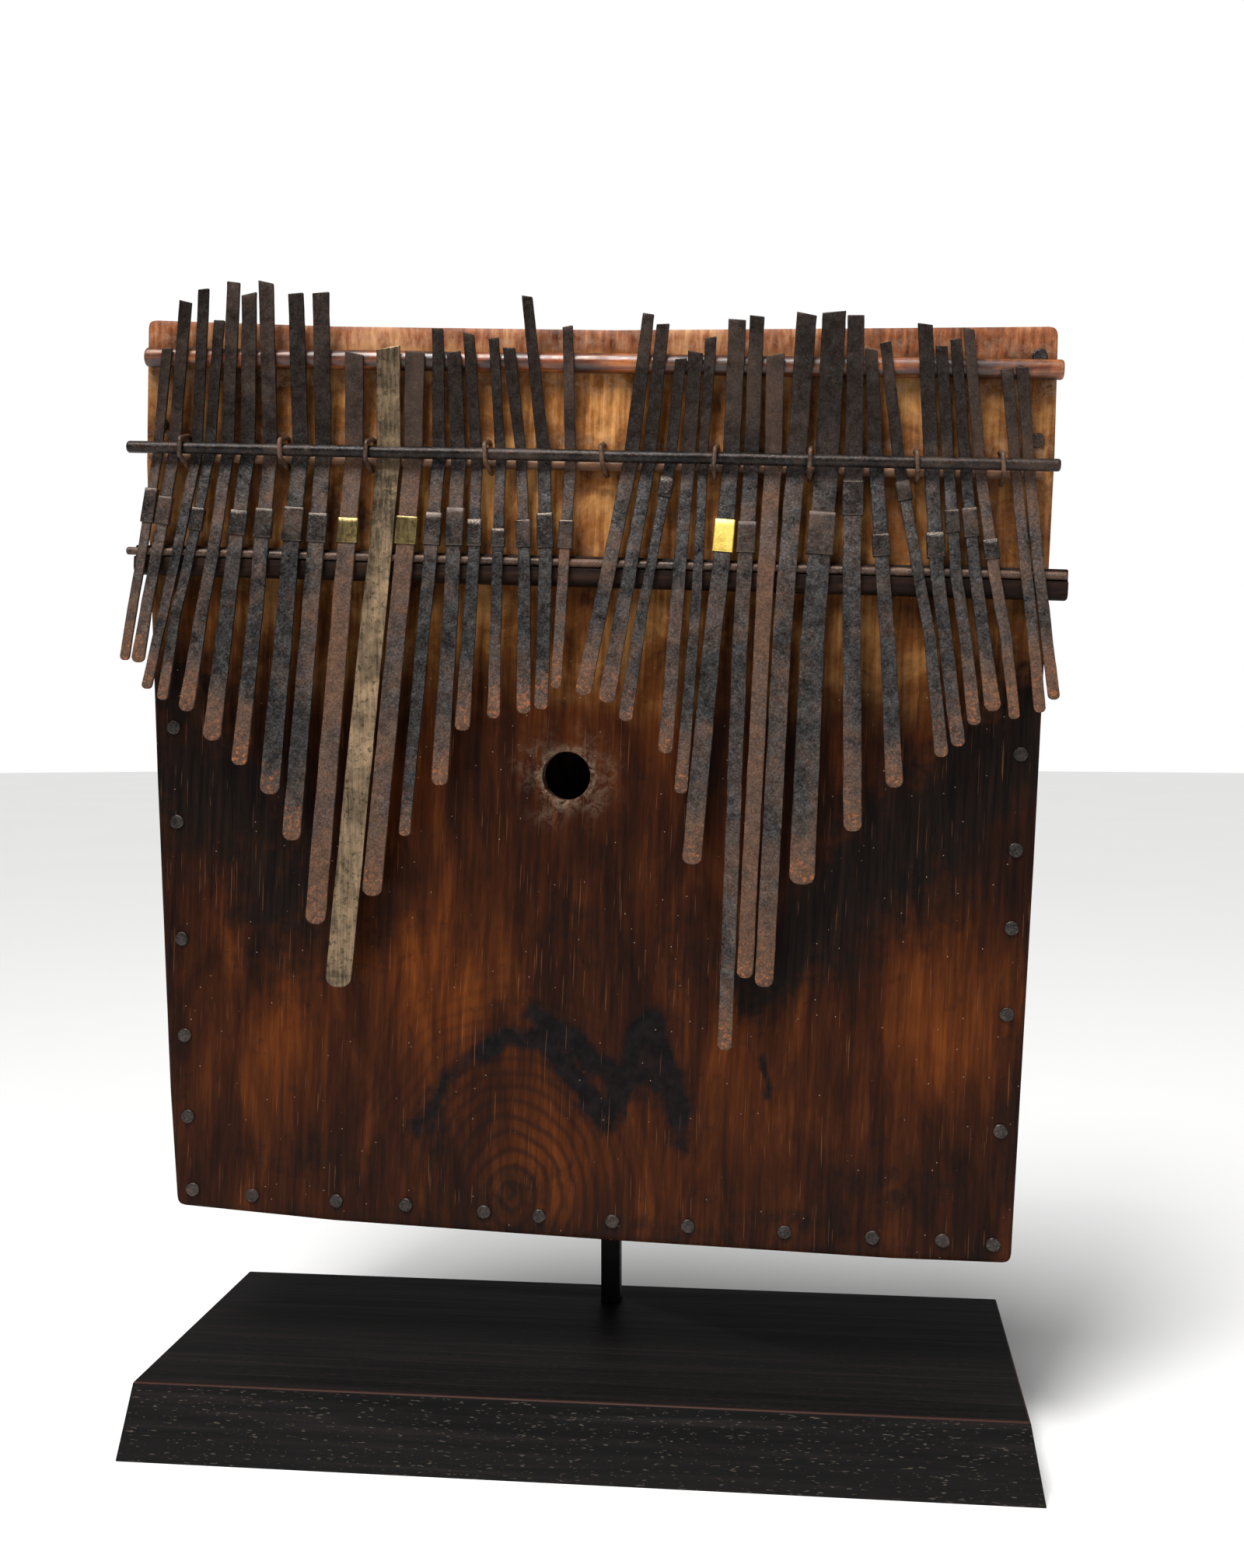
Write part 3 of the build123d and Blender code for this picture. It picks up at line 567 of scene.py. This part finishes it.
    dust = np.clip(np.max([
        0.46 * np.exp(-((away - 10.0) / 1.8) ** 2),
        0.20 * np.exp(-((away - 15) / 5.0) ** 2) * np.clip(0.5 + small[:, 0] * 1.6, 0, 1),
        0.55 * np.clip(1 - np.abs(v - 324) / 7, 0, 1),
        0.45 * np.clip(1 - np.abs(v - 302) / 5, 0, 1),
        0.35 * np.clip(1 - np.abs(v - 339) / 6, 0, 1),
        0.25 * np.clip(1 - np.abs(v - 261) / 6, 0, 1),
        0.12 * np.clip((v - 250) / 20, 0, 1)], axis=0), 0, 1)
    rings = np.clip(1.3 - np.hypot((u + 28) * 1.2, (v - 12) * 0.95) / 76, 0, 1)
    point_values(piece, char=char, streak=streak, honey=honey, top=top, orange=orange,
                 dust=dust, rings=rings)


build_soundboard()


# ---- tines and sleeves -----------------------------------------------------------------------
# How rusty each tine is overall: below 0 is black scale, above 0 is brown rust
TONES = [-0.02, -0.06, -0.08, -0.10, 0.00, -0.02, 0.00, -0.10, -0.04, 0.14, 0.00, 0.14, -0.08,
         -0.02, -0.10, -0.08, -0.06, -0.10, 0.08, -0.02, -0.06, -0.12, -0.02, -0.06, -0.04, -0.02,
         0.16, 0.00, -0.08, -0.02, -0.08, -0.06, -0.10, -0.10, -0.12, 0.06, 0.04, 0.02]
BRASS_TINE = 11
RUSTY_TIP = 34.0        # length of the rustier lower end, in millimetres
SOOT_FROM = 292.0       # height up the board above which the tines are sooty


def masks_for(piece, tone, rust_from=None, rims=False):
    """Wear masks: overall tone, rusty lower end, sooty upper end and bright rims of a sleeve."""
    vs = np.array([to_local(v.co)[1] for v in piece.data.vertices])
    tip = np.zeros(len(vs))
    if rust_from is not None:
        tip = 0.30 * np.clip(1 - (vs - rust_from) / RUSTY_TIP, 0, 1) ** 1.3
        point_values(piece, tail=np.clip((vs - SOOT_FROM) / 12, 0, 1))
    if rims:
        point_values(piece, edge=(np.minimum(vs - vs.min(), vs.max() - vs) < 0.6).astype(float))
    point_values(piece, tone=np.full(len(vs), tone), tip=tip)


def build_tine(number):
    """The forged blade of a tine, and its sheet sleeve where it has one."""
    node = f"tine_{number:02d}"
    groups = sorted(islands_of(node), key=len_v, reverse=True)
    for k, bm in enumerate(groups):
        if k == 0:
            soften(bm, 0.00034, 2)
            slice_along(bm, UP, 0.0026)
            wobble(bm, (0.20, 0.0, 0.09), 0.011, number)
            ragged_tail(bm, number)
            low = min(to_local(v.co)[1] for v in bm.verts)
            paint = OLD_BRASS if number == BRASS_TINE else IRON
            masks_for(finish_piece(f"tine_{number:02d}_blade", bm, node, paint), TONES[number - 1],
                      low)
        else:
            shape_sleeve(bm, number)
            masks_for(finish_piece(f"tine_{number:02d}_sleeve", bm, node, SLEEVE_IRON),
                      -0.12 + 0.07 * (number % 3), rims=True)


def len_v(bm):
    """Length of a bmesh up the board."""
    spans = [to_local(v.co)[1] for v in bm.verts]
    return max(spans) - min(spans)


def islands_of(node):
    """The node's separate solids, each as its own bmesh."""
    whole = cad_copy(node)
    count = len(islands(whole))
    whole.free()
    parts = []
    for k in range(count):
        bm = cad_copy(node)
        bm.faces.ensure_lookup_table()
        groups = sorted(islands(bm), key=lambda g: min(f.index for f in g))
        drop = [f for j, g in enumerate(groups) if j != k for f in g]
        bmesh.ops.delete(bm, geom=drop, context="FACES")
        parts.append(bm)
    return parts


def ragged_tail(bm, number):
    """The cut tail end is a little slanted and burred, as a chisel leaves it."""
    top = max(to_local(v.co)[1] for v in bm.verts)
    slant = 0.22 * sin(number * 2.4)
    mid = [to_local(v.co)[0] for v in bm.verts if to_local(v.co)[1] > top - 3]
    centre = sum(mid) / len(mid)
    for vert in bm.verts:
        u, v, w = to_local(vert.co)
        near = max(0.0, 1 - (top - v) / 2.2)
        if near > 0:
            burr = 0.30 * noise.noise(Vector((u * 0.9, w * 0.9, number * 3.3)))
            vert.co += UP * ((slant * (u - centre) - 0.4 + burr) * near * MM)


def shape_sleeve(bm, number):
    """Rounds the sheet's edges and hammers it slightly out of true."""
    soften(bm, 0.00012, 1, 50)
    slice_along(bm, UP, 0.0022)
    wobble(bm, (0.07, 0.10, 0.05), 0.006, number + 50)


for tine_number in range(1, 39):
    build_tine(tine_number)

for label, paint in (("brass_sleeve_10", SLEEVE_BRASS), ("brass_sleeve_12", SLEEVE_BRASS),
                     ("yellow_sleeve_25", BRIGHT_BRASS)):
    sleeve_mesh = cad_copy(label)
    shape_sleeve(sleeve_mesh, len(label))
    finish_piece(label + "_sheet", sleeve_mesh, label, paint)


# ---- bars, wires, nails ----------------------------------------------------------------------
BAR_STEP = 0.004


def worked_bar(node, paint, amounts, size, seed, tone=0.0, bevel=0.0):
    """A bar across the board, hand-worked and so slightly uneven along its length."""
    bm = cad_copy(node)
    if bevel:
        soften(bm, bevel, 3)
    slice_along(bm, ACROSS, BAR_STEP)
    wobble(bm, amounts, size, seed)
    masks_for(finish_piece(node + "_worked", bm, node, paint), tone)


worked_bar("back_bridge", BAR_WOOD, (0, 0.32, 0.22), 0.030, 3)
worked_bar("under_bar", TIE_WOOD, (0, 0.15, 0.0), 0.030, 4)
worked_bar("pressure_bar", BAR_IRON, (0, 0.20, 0.12), 0.030, 5, tone=-0.06)
worked_bar("bridge_rod", WIRE_IRON, (0, 0.06, 0.0), 0.030, 6, tone=0.04)
worked_bar("bridge_bar", DARK_SHADED_WOOD, (0, 0.12, 0.0), 0.026, 7, bevel=0.0009)


def plain_copy(node, paint, bevel):
    """A CAD node with its edges broken."""
    bm = cad_copy(node)
    soften(bm, bevel)
    finish_piece(node + "_finished", bm, node, paint)


for label in ("side_left", "side_right", "back_panel"):
    plain_copy(label, UPRIGHT_WOOD, 0.0006)
for label in ("side_top", "side_bottom"):
    plain_copy(label, LEVEL_WOOD, 0.0006)
plain_copy("inner_tie_bar", TIE_WOOD, 0.0006)
plain_copy("mount_plate", BLACK_STEEL, 0.0005)
plain_copy("stand_post", BLACK_STEEL, 0.0005)
plain_copy("stand_base", BASE_WOOD, 0.0004)
plain_copy("mount_screws", ZINC, 0.0002)


def nail_heads(node, tone):
    """Hand-struck nails: each head a little out of round, tilted and dented."""
    bm = cad_copy(node)
    bm.verts.index_update()
    for group in islands(bm):
        verts = sorted({v for f in group for v in f.verts}, key=lambda v: v.index)
        mid = sum((v.co for v in verts), Vector()) / len(verts)
        for vert in verts:
            arm = vert.co - mid
            d = noise.noise_vector(arm / 0.0022 + mid * 900)
            flat = Vector((d.x, 0, d.z)) * 0.00022
            side = (vert.co - mid).dot(OUT)
            vert.co += flat + OUT * d.y * 0.00014 * (1 if abs(side) > 0.004 else 0)
    masks_for(finish_piece(node + "_struck", bm, node, NAIL_IRON, 35), tone)


nail_heads("soundboard_nails", -0.06)
nail_heads("back_panel_nails", 0.04)
wire_mesh = bmesh.new()
wire_mesh.from_mesh(NODES["binding_wires"].data)
bmesh.ops.remove_doubles(wire_mesh, verts=wire_mesh.verts, dist=2e-6)
wobble(wire_mesh, (0.14, 0.06, 0.0), 0.008, 9)
masks_for(finish_piece("binding_wires_bent", wire_mesh, "binding_wires", WIRE_IRON, 60), 0.05)


# ---- stage, light and camera -----------------------------------------------------------------
def build_stage():
    """A wide round sheet of pale paper under the stand."""
    bm = bmesh.new()
    bmesh.ops.create_circle(bm, cap_ends=True, segments=96, radius=9)
    mesh = bpy.data.meshes.new("floor")
    bm.to_mesh(mesh)
    bm.free()
    floor = bpy.data.objects.new("floor", mesh)
    bpy.context.scene.collection.objects.link(floor)
    p = Paint("floor_paper", rough=0.9)
    p.colour(p.ramp(p.noise(3, 3), (0.3, (0.870, 0.870, 0.865)), (0.7, (0.885, 0.885, 0.880))))
    mesh.materials.append(p.mat)


def area_light(name, place, target, size, power, colour=(1, 1, 1)):
    data = bpy.data.lights.new(name, "AREA")
    data.shape, data.size, data.energy, data.color = "SQUARE", size, power, colour
    lamp = bpy.data.objects.new(name, data)
    lamp.location = place
    lamp.rotation_euler = (Vector(target) - Vector(place)).to_track_quat("-Z", "Y").to_euler()
    bpy.context.scene.collection.objects.link(lamp)


build_stage()
area_light("key", (-0.22, -0.80, 1.30), (0, -0.03, 0.36), 0.42, 14, (1.0, 0.985, 0.96))
area_light("fill", (1.1, -1.5, 0.9), (0, 0, 0.2), 0.9, 4, (0.96, 0.98, 1.0))
sun_data = bpy.data.lights.new("overhead", "SUN")
sun_data.energy, sun_data.angle = 2.6, radians(28)
sun = bpy.data.objects.new("overhead", sun_data)
sun.rotation_euler = Vector((0.20, 0.42, -1.0)).to_track_quat("-Z", "Y").to_euler()
bpy.context.scene.collection.objects.link(sun)

# the studio round the object: bright walls to look at, with only a soft glow as light
world = bpy.data.worlds.new("studio")
bpy.context.scene.world = world
world.use_nodes = True
sky = world.node_tree
glow = sky.nodes["Background"]
glow.inputs["Strength"].default_value = 0.17
walls = sky.nodes.new("ShaderNodeBackground")
walls.inputs["Strength"].default_value = 1.0
glow.inputs["Color"].default_value = walls.inputs["Color"].default_value = (1, 1, 1, 1)
seen = sky.nodes.new("ShaderNodeLightPath")
blend = sky.nodes.new("ShaderNodeMixShader")
sky.links.new(seen.outputs["Is Camera Ray"], blend.inputs[0])
sky.links.new(glow.outputs[0], blend.inputs[1])
sky.links.new(walls.outputs[0], blend.inputs[2])
sky.links.new(blend.outputs[0], sky.nodes["World Output"].inputs["Surface"])

camera_data = bpy.data.cameras.new("camera")
camera_data.sensor_width = 36
camera_data.lens = 40.9
camera = bpy.data.objects.new("camera", camera_data)
camera.location = (0.0940, -0.7008, 0.2768)
camera.rotation_euler = (radians(87.91), 0, radians(6.7))
bpy.context.scene.collection.objects.link(camera)
bpy.context.scene.camera = camera
bpy.context.scene.view_settings.view_transform = "Standard"
